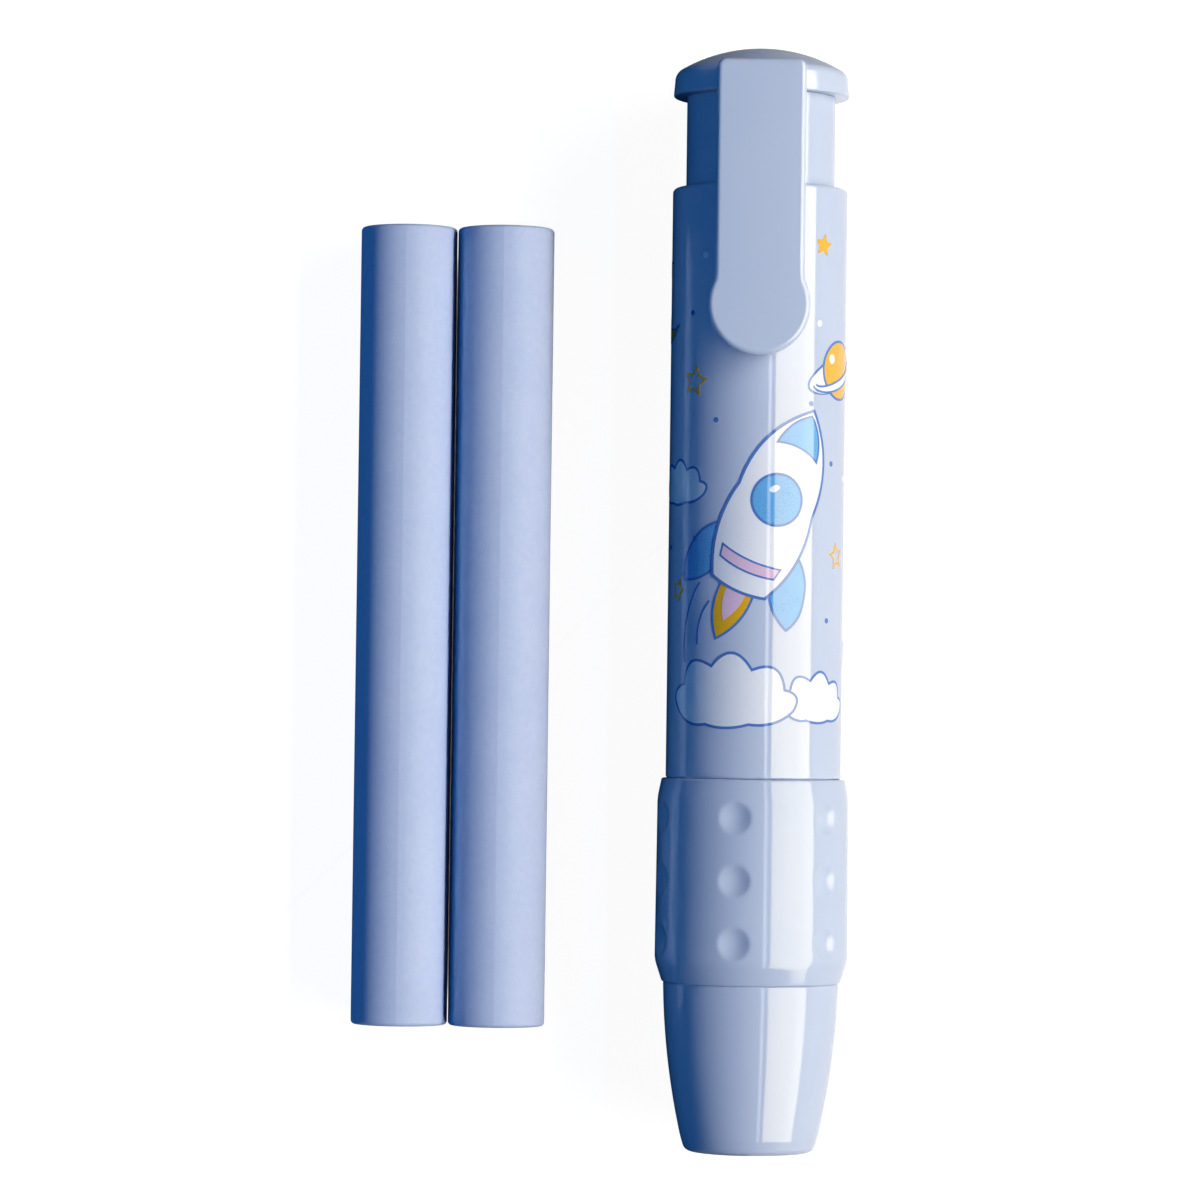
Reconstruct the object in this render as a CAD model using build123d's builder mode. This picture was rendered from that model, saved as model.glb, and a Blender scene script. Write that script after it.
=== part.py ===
"""Knock eraser holder with two spare eraser sticks, lying on a table. Millimetres, +Z up.

The holder lies along Y with its nozzle towards -Y and its clip on top. A place along it is a
station: the distance from the nozzle's end face. The origin is the middle of the underside of
the whole set.
"""

import os
from math import asin, cos, sin, sqrt, tau

from build123d import *

os.makedirs("parts", exist_ok=True)

# Shared clearances and the overrun of every cut
running_clearance = 0.05
sliding_clearance = 0.1
loose_clearance = 0.3
cut_overrun = 1.0

# Eraser sticks
eraser_radius = 5.0
eraser_length = 82.8
eraser_edge_round = 0.4
eraser_recess = 0.4
spare_gap = 0.1
spare_front_station = 12.2
holder_to_spare_gap = 11.45

# Magazine tube, whose rear end is the neck below the cap
magazine_wall = 1.0
magazine_play = 0.2
neck_step = 1.45
neck_wall = 1.05
neck_shoulder_thickness = 1.2
neck_show = 9.5

# Barrel, with the slimmer core under its grip and the spigot for the nozzle
barrel_wall = 1.25
barrel_length = 60.6
barrel_rear_edge_round = 0.45
barrel_front_edge_round = 0.25
barrel_web_depth = 1.2
grip_core_wall = 1.7
spigot_wall = 0.65
spigot_length = 6.1
clutch_seat_depth = 3.8

# Grip sleeve
grip_length = 20.9
grip_front_swell = 0.9
grip_rear_swell = 0.8
grip_front_end_swell = 0.15
grip_rear_end_swell = 0.4
grip_front_bevel_length = 2.3
grip_rear_bevel_length = 2.0
grip_edge_round = 3.0
grip_end_round = 0.2
dimple_radius = 1.55
dimple_depth = 0.45
dimple_columns = 6
dimple_first_angle = -10.5
dimple_rearward_shift = 0.2
dimple_row_pitch = 6.35
dimple_rows = 3

# Nozzle
nozzle_length = 17.3
nozzle_waist_station = 9.2
nozzle_waist_draw = 0.58
nozzle_tip_station = 1.5
nozzle_tip_draw = 1.95
nozzle_tip_round = 0.9
nozzle_rear_round = 0.15
nozzle_lip_length = 1.2

# Brake ring, held behind the nozzle's lip
brake_ring_wall = 1.05
brake_ring_length = 2.3
brake_ring_edge_round = 0.3

# Collet and its clutch ring
collet_head_step = 0.55
collet_head_length = 2.0
collet_head_chamfer = 0.5
collet_head_play = 0.2
collet_jaw_length = 5.0
collet_body_length = 9.0
collet_lap_wall = 0.5
collet_tail_length = 6.0
collet_slot_width = 0.8
collet_slot_end_length = 2.0
collet_jaws = 4
clutch_ring_stop = 0.2
clutch_ring_length = 2.0
clutch_ring_travel = 2.3
clutch_ring_chamfer = 0.25

# Return spring and its washer
washer_thickness = 0.6
spring_wire = 0.8
spring_turns = 8
spring_length = 28.0
spring_end_gap = 0.55

# Knock cap
cap_rim_swell = 0.05
cap_rim_taper = 0.2
cap_rim_height = 2.4
cap_rim_round = 0.8
cap_rim_under_round = 0.2
cap_dome_rise = 2.6
cap_dome_wall = 1.4
cap_spigot_wall = 1.2
cap_spigot_length = 9.3

# Clip
clip_width = 9.0
clip_thickness = 2.0
clip_gap = 1.3
clip_reach = 22.2
clip_bulb_swell = 0.65
clip_bulb_blend = 2.0
clip_edge_round = 0.6
clip_nub_radius = 1.5
clip_nub_round = 0.6
clip_lug_length = 2.6
clip_lug_round = 0.9
clip_lug_corner_round = 1.2

# Radii about the holder's axis, from the eraser outwards
collet_grip_radius = eraser_radius + running_clearance
magazine_bore_radius = eraser_radius + magazine_play
magazine_radius = magazine_bore_radius + magazine_wall
collet_tail_radius = magazine_bore_radius + collet_lap_wall
collet_head_radius = magazine_radius + collet_head_step
guide_bore_radius = magazine_radius + loose_clearance
neck_radius = magazine_radius + neck_step
neck_bore_radius = neck_radius - neck_wall
neck_guide_radius = neck_radius + sliding_clearance
barrel_radius = neck_guide_radius + barrel_wall
grip_core_radius = guide_bore_radius + grip_core_wall
nozzle_cavity_radius = collet_head_radius + collet_head_play
clutch_ring_radius = nozzle_cavity_radius + clutch_ring_stop
clutch_bore_radius = clutch_ring_radius + sliding_clearance
spigot_radius = clutch_bore_radius + spigot_wall
thread_bore_radius = spigot_radius + running_clearance
grip_front_radius = barrel_radius + grip_front_swell
grip_rear_radius = barrel_radius + grip_rear_swell
grip_front_end_radius = barrel_radius + grip_front_end_swell
grip_rear_end_radius = barrel_radius + grip_rear_end_swell
nozzle_waist_radius = barrel_radius - nozzle_waist_draw
nozzle_tip_radius = barrel_radius - nozzle_tip_draw
nozzle_bore_radius = eraser_radius + loose_clearance
brake_ring_radius = collet_grip_radius + brake_ring_wall
cap_spigot_radius = neck_bore_radius - running_clearance
cap_hollow_radius = cap_spigot_radius - cap_spigot_wall
cap_rim_radius = barrel_radius + cap_rim_swell
dome_rim_radius = cap_rim_radius - cap_rim_taper

# Stations along the holder
barrel_front_station = nozzle_length + grip_length
barrel_rear_station = barrel_front_station + barrel_length
dimple_middle_station = (nozzle_length + barrel_front_station) / 2 + dimple_rearward_shift
nozzle_floor_station = nozzle_lip_length + brake_ring_length
spigot_front_station = nozzle_length - spigot_length
clutch_shoulder_station = spigot_front_station + clutch_seat_depth
clutch_ring_front_station = clutch_shoulder_station - clutch_ring_length
nozzle_stop_station = clutch_ring_front_station - clutch_ring_travel
collet_front_station = clutch_ring_front_station - collet_head_length
collet_jaw_end_station = collet_front_station + collet_jaw_length
magazine_front_station = collet_front_station + collet_body_length
collet_slot_end_station = magazine_front_station - collet_slot_end_length
collet_tail_end_station = magazine_front_station + collet_tail_length
grip_front_edge_station = nozzle_length + grip_front_bevel_length
grip_rear_edge_station = barrel_front_station - grip_rear_bevel_length
spring_seat_station = barrel_front_station + barrel_web_depth
spring_front_station = spring_seat_station + washer_thickness
neck_shoulder_station = spring_front_station + spring_length
neck_bore_station = neck_shoulder_station + neck_shoulder_thickness
cap_underside_station = barrel_rear_station + neck_show
cap_spigot_station = cap_underside_station - cap_spigot_length
cap_rim_top_station = cap_underside_station + cap_rim_height
overall_length = cap_rim_top_station + cap_dome_rise
cap_ceiling_station = overall_length - cap_dome_wall
lug_rear_station = cap_underside_station + clip_lug_length
clip_foot_station = cap_underside_station - clip_reach

# Clip's foot, and heights above the holder's axis
clip_bulb_radius = clip_width / 2 + clip_bulb_swell
clip_nub_height = barrel_radius + loose_clearance
clip_underside_height = barrel_radius + clip_gap
clip_hinge_height = clip_underside_height + clip_thickness / 2
clip_top_height = clip_underside_height + clip_thickness

# Places on the table
spare_pitch = 2 * eraser_radius + spare_gap
overall_width = 2 * grip_front_radius + holder_to_spare_gap + spare_pitch + 2 * eraser_radius
holder_x = overall_width / 2 - grip_front_radius
holder_z = grip_front_radius
tip_y = -overall_length / 2
spare_left_x = eraser_radius - overall_width / 2
spare_right_x = spare_left_x + spare_pitch

# Planes and axes
holder_origin = (holder_x, tip_y, holder_z)
holder_axis = Axis(holder_origin, (0, 1, 0))
meridian = Plane(origin=holder_origin, x_dir=(1, 0, 0), z_dir=(0, 0, 1))


def cross_plane(station):
    """The plane square to the holder at a station, with +Z as its x and +X as its y."""
    return Plane(origin=(holder_x, tip_y + station, holder_z), x_dir=(0, 0, 1), z_dir=(0, 1, 0))


def band(inner, outer, start, end, mode=Mode.ADD):
    """A ring's section in the meridian sketch, between two radii and two stations."""
    with Locations(((inner + outer) / 2, (start + end) / 2)):
        Rectangle(outer - inner, end - start, mode=mode)


def edges_at(piece, radius, station):
    """The round edges of a piece at a radius about the holder's axis and at a station."""
    near = running_clearance / 2
    rings = piece.edges().filter_by(GeomType.CIRCLE)
    rings = rings.filter_by(lambda edge: abs(edge.radius - radius) < near)
    return rings.filter_by(lambda edge: abs(edge.arc_center.Y - tip_y - station) < near)


# Barrel: a rear tube with the print on it, a slimmer core under the grip and a threaded spigot
with BuildPart() as barrel:
    with BuildSketch(meridian):
        band(0, barrel_radius, barrel_front_station, barrel_rear_station)
        band(0, grip_core_radius, nozzle_length, barrel_front_station)
        band(0, spigot_radius, spigot_front_station, nozzle_length)
        band(0, neck_guide_radius, spring_seat_station, barrel_rear_station, Mode.SUBTRACT)
        band(0, guide_bore_radius, clutch_shoulder_station, spring_seat_station, Mode.SUBTRACT)
        band(0, clutch_bore_radius, spigot_front_station, clutch_shoulder_station, Mode.SUBTRACT)
    revolve(axis=holder_axis)
    fillet(edges_at(barrel, barrel_radius, barrel_rear_station), barrel_rear_edge_round)
    fillet(edges_at(barrel, barrel_radius, barrel_front_station), barrel_front_edge_round)
barrel.part.label = "barrel"
export_step(barrel.part, "parts/barrel.step")

# Grip sleeve: bevelled at both ends, with rows of round dimples pressed into it
dimple_ball_radius = (dimple_radius**2 + dimple_depth**2) / (2 * dimple_depth)
dimple_ball_reach = grip_front_radius - dimple_depth + dimple_ball_radius

with BuildPart() as grip_sleeve:
    with BuildSketch(meridian):
        with BuildLine():
            Polyline(
                (grip_core_radius, nozzle_length),
                (grip_front_end_radius, nozzle_length),
                (grip_front_radius, grip_front_edge_station),
                (grip_rear_radius, grip_rear_edge_station),
                (grip_rear_end_radius, barrel_front_station),
                (grip_core_radius, barrel_front_station),
                close=True,
            )
        make_face()
    revolve(axis=holder_axis)
    fillet(edges_at(grip_sleeve, grip_front_radius, grip_front_edge_station), grip_edge_round)
    fillet(edges_at(grip_sleeve, grip_rear_radius, grip_rear_edge_station), grip_edge_round)
    fillet(edges_at(grip_sleeve, grip_front_end_radius, nozzle_length), grip_end_round)
    fillet(edges_at(grip_sleeve, grip_rear_end_radius, barrel_front_station), grip_end_round)
    for row in range(dimple_rows):
        row_station = dimple_middle_station + (row - (dimple_rows - 1) / 2) * dimple_row_pitch
        with Locations(cross_plane(row_station)):
            with PolarLocations(dimple_ball_reach, dimple_columns, start_angle=dimple_first_angle):
                Sphere(dimple_ball_radius, mode=Mode.SUBTRACT)
grip_sleeve.part.label = "grip_sleeve"
export_step(grip_sleeve.part, "parts/grip_sleeve.step")

# Nozzle: a bowed cone that screws on the spigot, with a lip round the eraser and a stop inside
with BuildPart() as nozzle:
    with BuildSketch(meridian):
        with BuildLine():
            Line((0, 0), (nozzle_tip_radius - nozzle_tip_round / 2, 0))
            Line(
                (nozzle_tip_radius - nozzle_tip_round / 2, 0),
                (nozzle_tip_radius, nozzle_tip_station),
            )
            ThreePointArc(
                (nozzle_tip_radius, nozzle_tip_station),
                (nozzle_waist_radius, nozzle_waist_station),
                (barrel_radius, nozzle_length),
            )
            Polyline((barrel_radius, nozzle_length), (0, nozzle_length), (0, 0))
        make_face()
        band(0, nozzle_bore_radius, 0, nozzle_lip_length, Mode.SUBTRACT)
        band(0, brake_ring_radius + running_clearance, nozzle_lip_length, nozzle_floor_station, Mode.SUBTRACT)
        band(0, nozzle_cavity_radius, nozzle_floor_station, nozzle_stop_station, Mode.SUBTRACT)
        band(0, thread_bore_radius, nozzle_stop_station, nozzle_length, Mode.SUBTRACT)
    revolve(axis=holder_axis)
    fillet(edges_at(nozzle, nozzle_tip_radius - nozzle_tip_round / 2, 0), nozzle_tip_round)
    fillet(edges_at(nozzle, barrel_radius, nozzle_length), nozzle_rear_round)
nozzle.part.label = "nozzle"
export_step(nozzle.part, "parts/nozzle.step")

# Brake ring: a soft ring behind the lip that holds the eraser while the collet goes back
with BuildPart() as brake_ring:
    with BuildSketch(meridian):
        band(collet_grip_radius, brake_ring_radius, nozzle_lip_length, nozzle_floor_station)
    revolve(axis=holder_axis)
    fillet(edges_at(brake_ring, brake_ring_radius, nozzle_floor_station), brake_ring_edge_round)
brake_ring.part.label = "brake_ring"
export_step(brake_ring.part, "parts/brake_ring.step")

# Clutch ring: pulled against the barrel's shoulder, it holds the collet's jaws shut
with BuildPart() as clutch_ring:
    with BuildSketch(meridian):
        band(
            magazine_radius + sliding_clearance,
            clutch_ring_radius,
            clutch_ring_front_station,
            clutch_shoulder_station,
        )
    revolve(axis=holder_axis)
    chamfer(edges_at(clutch_ring, clutch_ring_radius, clutch_ring_front_station), clutch_ring_chamfer)
    chamfer(edges_at(clutch_ring, clutch_ring_radius, clutch_shoulder_station), clutch_ring_chamfer)
clutch_ring.part.label = "clutch_ring"
export_step(clutch_ring.part, "parts/clutch_ring.step")

# Collet: jaws with a head at the front, on a tail that is lapped into the magazine tube
with BuildPart() as collet:
    with BuildSketch(meridian):
        band(collet_grip_radius, collet_head_radius, collet_front_station, clutch_ring_front_station)
        band(collet_grip_radius, magazine_radius, clutch_ring_front_station, magazine_front_station)
        band(collet_grip_radius, collet_tail_radius, magazine_front_station, collet_tail_end_station)
        band(
            0,
            magazine_bore_radius,
            collet_jaw_end_station,
            collet_tail_end_station,
            Mode.SUBTRACT,
        )
    revolve(axis=holder_axis)
    chamfer(edges_at(collet, collet_head_radius, collet_front_station), collet_head_chamfer)
    slot_length = collet_slot_end_station - collet_front_station + cut_overrun
    slot_middle_station = (collet_slot_end_station + collet_front_station - cut_overrun) / 2
    with Locations(cross_plane(slot_middle_station)):
        with PolarLocations(0, collet_jaws // 2, angular_range=180):
            Box(2 * collet_head_radius + cut_overrun, collet_slot_width, slot_length, mode=Mode.SUBTRACT)
collet.part.label = "collet"
export_step(collet.part, "parts/collet.step")

# Magazine tube: a slim front that carries the eraser, stepped out to the neck behind the spring
neck_rear_station = cap_underside_station - running_clearance

with BuildPart() as magazine_tube:
    with BuildSketch(meridian):
        band(magazine_bore_radius, magazine_radius, magazine_front_station, neck_bore_station)
        band(magazine_radius, neck_radius, neck_shoulder_station, neck_bore_station)
        band(neck_bore_radius, neck_radius, neck_bore_station, neck_rear_station)
        band(0, collet_tail_radius, magazine_front_station, collet_tail_end_station, Mode.SUBTRACT)
    revolve(axis=holder_axis)
magazine_tube.part.label = "magazine_tube"
export_step(magazine_tube.part, "parts/magazine_tube.step")

# Spring washer: on the barrel's web, in front of the spring
with BuildPart() as spring_washer:
    with BuildSketch(meridian):
        band(
            guide_bore_radius,
            neck_guide_radius - sliding_clearance,
            spring_seat_station,
            spring_front_station,
        )
    revolve(axis=holder_axis)
spring_washer.part.label = "spring_washer"
export_step(spring_washer.part, "parts/spring_washer.step")

# Return spring: one wire from the washer to the neck's shoulder, with a closer turn at each end
spring_mean_radius = (magazine_radius + neck_guide_radius) / 2
spring_first_station = spring_front_station + spring_wire / 2 + running_clearance
spring_last_station = neck_shoulder_station - spring_wire / 2 - running_clearance
spring_steps_per_turn = 4
spring_steps = spring_turns * spring_steps_per_turn
spring_end_rise = (spring_wire + spring_end_gap) / spring_steps_per_turn
spring_middle_steps = spring_steps - 2 * spring_steps_per_turn
spring_middle_rise = (
    spring_last_station - spring_first_station - 2 * spring_steps_per_turn * spring_end_rise
) / spring_middle_steps
spring_rises = (
    [spring_end_rise] * spring_steps_per_turn
    + [spring_middle_rise] * spring_middle_steps
    + [spring_end_rise] * spring_steps_per_turn
)


def spring_knots():
    """The points and unit tangents of the wire's middle line at each quarter turn."""
    knots = []
    station = spring_first_station
    for step in range(spring_steps + 1):
        before = spring_rises[max(step - 1, 0)]
        after = spring_rises[min(step, spring_steps - 1)]
        turn = tau * step / spring_steps_per_turn
        point = Vector(
            holder_x + spring_mean_radius * cos(turn),
            tip_y + station,
            holder_z - spring_mean_radius * sin(turn),
        )
        rise_rate = (before + after) / 2 * spring_steps_per_turn / tau
        tangent = Vector(
            -spring_mean_radius * sin(turn), rise_rate, -spring_mean_radius * cos(turn)
        ).normalized()
        knots.append((point, tangent))
        station += after
    return knots


def biarc_joint(start, start_tangent, end, end_tangent):
    """The point where two arcs of equal tangent length join, and the direction there."""
    chord = end - start
    tangents = start_tangent + end_tangent
    square = 4 - tangents.dot(tangents)
    half_linear = chord.dot(tangents)
    reach = (sqrt(half_linear**2 + square * chord.dot(chord)) - half_linear) / square
    first_corner = start + start_tangent * reach
    second_corner = end - end_tangent * reach
    return (first_corner + second_corner) / 2, (second_corner - first_corner).normalized()


with BuildPart() as return_spring:
    with BuildLine() as wire_line:
        knots = spring_knots()
        for (start, start_tangent), (end, end_tangent) in zip(knots, knots[1:]):
            joint, joint_tangent = biarc_joint(start, start_tangent, end, end_tangent)
            TangentArc(start, joint, tangent=start_tangent)
            TangentArc(joint, end, tangent=joint_tangent)
    wire_path = wire_line.wires()[0]
    with BuildSketch(Plane(origin=wire_path @ 0, z_dir=wire_path % 0)):
        Circle(spring_wire / 2)
    sweep(path=wire_path)
return_spring.part.label = "return_spring"
export_step(return_spring.part, "parts/return_spring.step")


def least_gap_to_itself(path, wire, turns):
    """The least gap between turns, measured between points along the middle line."""
    per_turn = 60
    count = turns * per_turn
    points = [path @ (index / count) for index in range(count + 1)]
    apart = per_turn // 2
    least = min(
        (points[first] - points[second]).length
        for first in range(count + 1)
        for second in range(first + apart, min(first + 2 * per_turn, count + 1))
    )
    return least - wire


print(f"spring: least gap to itself {least_gap_to_itself(wire_path, spring_wire, spring_turns):.3f} mm")

# Knock cap: a domed button with a hollow spigot in the neck and a lug for the clip
dome_radius = (dome_rim_radius**2 + cap_dome_rise**2) / (2 * cap_dome_rise)
dome_half_angle = asin(dome_rim_radius / dome_radius) / 2
dome_middle_radius = dome_radius * sin(dome_half_angle)
dome_middle_station = overall_length - dome_radius * (1 - cos(dome_half_angle))


def holder_point(across, station, height):
    """A point beside the holder's axis: across is +X, height is +Z from the axis."""
    return (holder_x + across, tip_y + station, holder_z + height)


hinge_plane = Plane(
    origin=holder_point(0, cap_underside_station, clip_hinge_height), x_dir=(0, 1, 0), z_dir=(1, 0, 0)
)

with BuildPart() as knock_cap:
    with BuildSketch(meridian):
        with BuildLine():
            Polyline(
                (0, cap_spigot_station),
                (cap_spigot_radius, cap_spigot_station),
                (cap_spigot_radius, cap_underside_station),
                (cap_rim_radius, cap_underside_station),
                (dome_rim_radius, cap_rim_top_station),
            )
            ThreePointArc(
                (dome_rim_radius, cap_rim_top_station),
                (dome_middle_radius, dome_middle_station),
                (0, overall_length),
            )
            Line((0, overall_length), (0, cap_spigot_station))
        make_face()
        band(0, cap_hollow_radius, cap_spigot_station, cap_ceiling_station, Mode.SUBTRACT)
    revolve(axis=holder_axis)
    fillet(edges_at(knock_cap, dome_rim_radius, cap_rim_top_station), cap_rim_round)
    fillet(edges_at(knock_cap, cap_rim_radius, cap_underside_station), cap_rim_under_round)
    with BuildSketch(Plane(origin=holder_point(0, 0, neck_bore_radius))) as lug_outline:
        with Locations((0, (cap_underside_station + lug_rear_station) / 2)):
            Rectangle(clip_width, lug_rear_station - cap_underside_station)
        fillet(lug_outline.vertices().group_by(Axis.Y)[-1], clip_lug_corner_round)
    extrude(amount=clip_top_height - neck_bore_radius)
    lug_top_edges = knock_cap.edges().group_by(Axis.Z)[-1]
    fillet(lug_top_edges.sort_by(Axis.Y)[1:], clip_lug_round)
    with BuildSketch(hinge_plane):
        Circle(clip_thickness / 2 + sliding_clearance)
    extrude(amount=clip_width / 2 + cut_overrun, both=True, mode=Mode.SUBTRACT)
knock_cap.part.label = "knock_cap"
export_step(knock_cap.part, "parts/knock_cap.step")

# Clip: a flat spring arm with a round foot, whose knuckle sits in the lug where the arm bends
with BuildPart() as clip:
    with BuildSketch(Plane(origin=holder_point(0, 0, clip_underside_height))) as clip_outline:
        with Locations((0, (clip_foot_station + cap_underside_station) / 2)):
            Rectangle(clip_width, cap_underside_station - clip_foot_station)
        with Locations((0, clip_foot_station)):
            Circle(clip_bulb_radius)
        waist_station = clip_foot_station + sqrt(clip_bulb_radius**2 - (clip_width / 2) ** 2)
        waist = clip_outline.vertices().filter_by(
            lambda vertex: abs(vertex.Y - tip_y - waist_station) < running_clearance
        )
        fillet(waist, clip_bulb_blend)
    extrude(amount=clip_thickness)
    top_edges = clip.edges().group_by(Axis.Z)[-1]
    fillet(top_edges.sort_by(Axis.Y)[:-1], clip_edge_round)
    with BuildSketch(hinge_plane):
        Circle(clip_thickness / 2)
    extrude(amount=clip_width / 2 - clip_edge_round, both=True)
    with BuildSketch(Plane(origin=holder_point(0, clip_foot_station, clip_nub_height))):
        Circle(clip_nub_radius)
    extrude(amount=clip_underside_height - clip_nub_height)
    fillet(clip.edges().group_by(Axis.Z)[0], clip_nub_round)
clip.part.label = "clip"
export_step(clip.part, "parts/clip.step")

# Eraser sticks: the one in the holder, a little inside the lip, and the two spare ones beside it
eraser_places = {
    "eraser_core": (holder_x, tip_y + eraser_recess, holder_z),
    "spare_refill_left": (spare_left_x, tip_y + spare_front_station, eraser_radius),
    "spare_refill_right": (spare_right_x, tip_y + spare_front_station, eraser_radius),
}
for eraser_name, eraser_front in eraser_places.items():
    with BuildPart() as eraser:
        with BuildSketch(Plane(origin=eraser_front, x_dir=(0, 0, 1), z_dir=(0, 1, 0))):
            Circle(eraser_radius)
        extrude(amount=eraser_length)
        fillet(eraser.edges().filter_by(GeomType.CIRCLE), eraser_edge_round)
    eraser.part.label = eraser_name
    export_step(eraser.part, f"parts/{eraser_name}.step")
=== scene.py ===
from math import asin, atan2, cos, pi, radians, sin, sqrt, tan, tau

import bmesh
import bpy
from mathutils import Matrix, Vector


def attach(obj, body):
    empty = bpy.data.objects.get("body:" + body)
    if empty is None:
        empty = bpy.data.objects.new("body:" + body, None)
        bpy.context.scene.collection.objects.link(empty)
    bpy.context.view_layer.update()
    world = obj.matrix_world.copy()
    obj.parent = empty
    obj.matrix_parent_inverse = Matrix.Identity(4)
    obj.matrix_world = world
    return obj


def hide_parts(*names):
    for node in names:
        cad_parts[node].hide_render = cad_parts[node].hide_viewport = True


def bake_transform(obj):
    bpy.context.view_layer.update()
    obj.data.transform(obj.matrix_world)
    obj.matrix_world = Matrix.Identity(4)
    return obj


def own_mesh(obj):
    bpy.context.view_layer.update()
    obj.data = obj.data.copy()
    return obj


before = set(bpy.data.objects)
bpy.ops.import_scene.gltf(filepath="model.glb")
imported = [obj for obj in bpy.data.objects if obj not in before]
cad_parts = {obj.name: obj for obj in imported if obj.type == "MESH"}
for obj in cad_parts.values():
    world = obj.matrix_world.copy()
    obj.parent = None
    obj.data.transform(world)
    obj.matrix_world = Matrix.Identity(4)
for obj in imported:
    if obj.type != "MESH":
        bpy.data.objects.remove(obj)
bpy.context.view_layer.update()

# Sizes in millimetres, in the words of the solids. A station is the way from the nozzle's end.
mm = 0.001
overall_length = 113.3
holder_x = 15.775
holder_z = 9.9
tip_y = -overall_length / 2

barrel_radius = 9.0
barrel_front_station = 38.2

grip_core_radius = 8.2
grip_front_station = 17.3
grip_front_end_radius = 9.15
grip_front_radius = 9.9
grip_front_edge_station = 19.6
grip_rear_radius = 9.8
grip_rear_edge_station = 36.2
grip_rear_end_radius = 9.4
grip_edge_setback = 0.5
grip_end_setback = 0.2
grip_ring_gap = 0.22
grip_spin_steps = 300
dimple_reach = 1.7
dimple_depth = 0.48
dimple_softness = 1.15
dimple_columns = 6
dimple_first_angle = -10.5
dimple_middle_station = 27.95
dimple_row_pitch = 6.35
dimple_rows = 3

cap_underside_station = 108.3
cap_rim_top_station = 110.7
cap_spigot_station = 99.0
cap_spigot_radius = 6.55
cap_hollow_radius = 5.35
cap_ceiling_station = 111.9
cap_rim_radius = 9.05
dome_rim_radius = 8.85
cap_rim_under_setback = 0.2
cap_rim_top_setback = 0.55
cap_mouth_setback = 0.15
cap_spigot_setback = 0.25
cap_root_setback = 0.12
cap_ceiling_setback = 0.3
cap_spin_steps = 220
dome_steps = 14

clip_width = 9.0
clip_thickness = 2.0
clip_underside_height = 10.3
clip_top_height = 12.3
clip_foot_station = 86.1
clip_bulb_radius = 5.15
clip_lug_end_station = 110.9
clip_lug_sink = 4.4
clip_edge_round = 0.95
clip_under_round = 0.25
clip_waist_setback = 0.8
clip_corner_setback = 0.9
clip_nub_radius = 1.5
clip_nub_height = 9.3
clip_nub_round = 0.6
clip_foot_steps = 72
clip_bend_end_station = 105.8
clip_bend_cut_gap = 0.2
clip_bend_cuts = 13
clip_arm_cut_stations = [102.0, 96.0, 91.0]

spring_wire = 0.8
spring_mean_radius = 6.975
spring_first_station = 40.45
spring_last_station = 67.55
spring_turns = 8
spring_end_pitch = 1.35
spring_section_sides = 14
spring_turn_steps = 40


def holder_place(across, station, height):
    """A place beside the holder's axis: across is +X, height is +Z from the axis."""
    return Vector((holder_x + across, tip_y + station, holder_z + height)) * mm


axis_place = holder_place(0, 0, 0)


# Shared effects: node groups that give colours, values and heights


def new_group(name, inputs, outputs):
    """An empty shader group with named sockets; gives the group, its input and output nodes."""
    group = bpy.data.node_groups.new(name, "ShaderNodeTree")
    for label, kind, value in inputs:
        socket = group.interface.new_socket(label, in_out="INPUT", socket_type=kind)
        socket.default_value = value
    for label, kind in outputs:
        group.interface.new_socket(label, in_out="OUTPUT", socket_type=kind)
    return group, group.nodes.new("NodeGroupInput"), group.nodes.new("NodeGroupOutput")


def maths(tree, operation, *values, clamp=False):
    """A Math node; values are numbers or sockets."""
    node = tree.nodes.new("ShaderNodeMath")
    node.operation = operation
    node.use_clamp = clamp
    for socket, value in zip(node.inputs, values):
        if isinstance(value, (int, float)):
            socket.default_value = value
        else:
            tree.links.new(value, socket)
    return node.outputs[0]


def noise_of(tree, place, scale, detail=3.0, roughness=0.5):
    """The value of a Noise texture at a place; scale is a number or a socket."""
    node = tree.nodes.new("ShaderNodeTexNoise")
    node.inputs["Detail"].default_value = detail
    node.inputs["Roughness"].default_value = roughness
    if isinstance(scale, (int, float)):
        node.inputs["Scale"].default_value = scale
    else:
        tree.links.new(scale, node.inputs["Scale"])
    tree.links.new(place, node.inputs["Vector"])
    return node.outputs["Fac"]


def span_of(tree, value, low, high, new_low=0.0, new_high=1.0):
    """A value spread from one range to another, kept inside the new one."""
    node = tree.nodes.new("ShaderNodeMapRange")
    node.clamp = True
    for label, number in zip(("From Min", "From Max", "To Min", "To Max"), (low, high, new_low, new_high)):
        if isinstance(number, (int, float)):
            node.inputs[label].default_value = number
        else:
            tree.links.new(number, node.inputs[label])
    tree.links.new(value, node.inputs["Value"])
    return node.outputs["Result"]


def mixed(tree, share, first, second, blend="MIX"):
    """A colour mixed from two; each is a colour or a socket."""
    node = tree.nodes.new("ShaderNodeMix")
    node.data_type = "RGBA"
    node.blend_type = blend
    for socket, value in zip((node.inputs[0], node.inputs[6], node.inputs[7]), (share, first, second)):
        if isinstance(value, (int, float, tuple)):
            socket.default_value = value
        else:
            tree.links.new(value, socket)
    return node.outputs[2]


def linear(red, green, blue):
    """A colour written as screen values from 0 to 255, as the shader takes it."""
    shares = [value / 255 for value in (red, green, blue)]
    return tuple(
        share / 12.92 if share <= 0.04045 else ((share + 0.055) / 1.055) ** 2.4 for share in shares
    ) + (1.0,)


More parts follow.
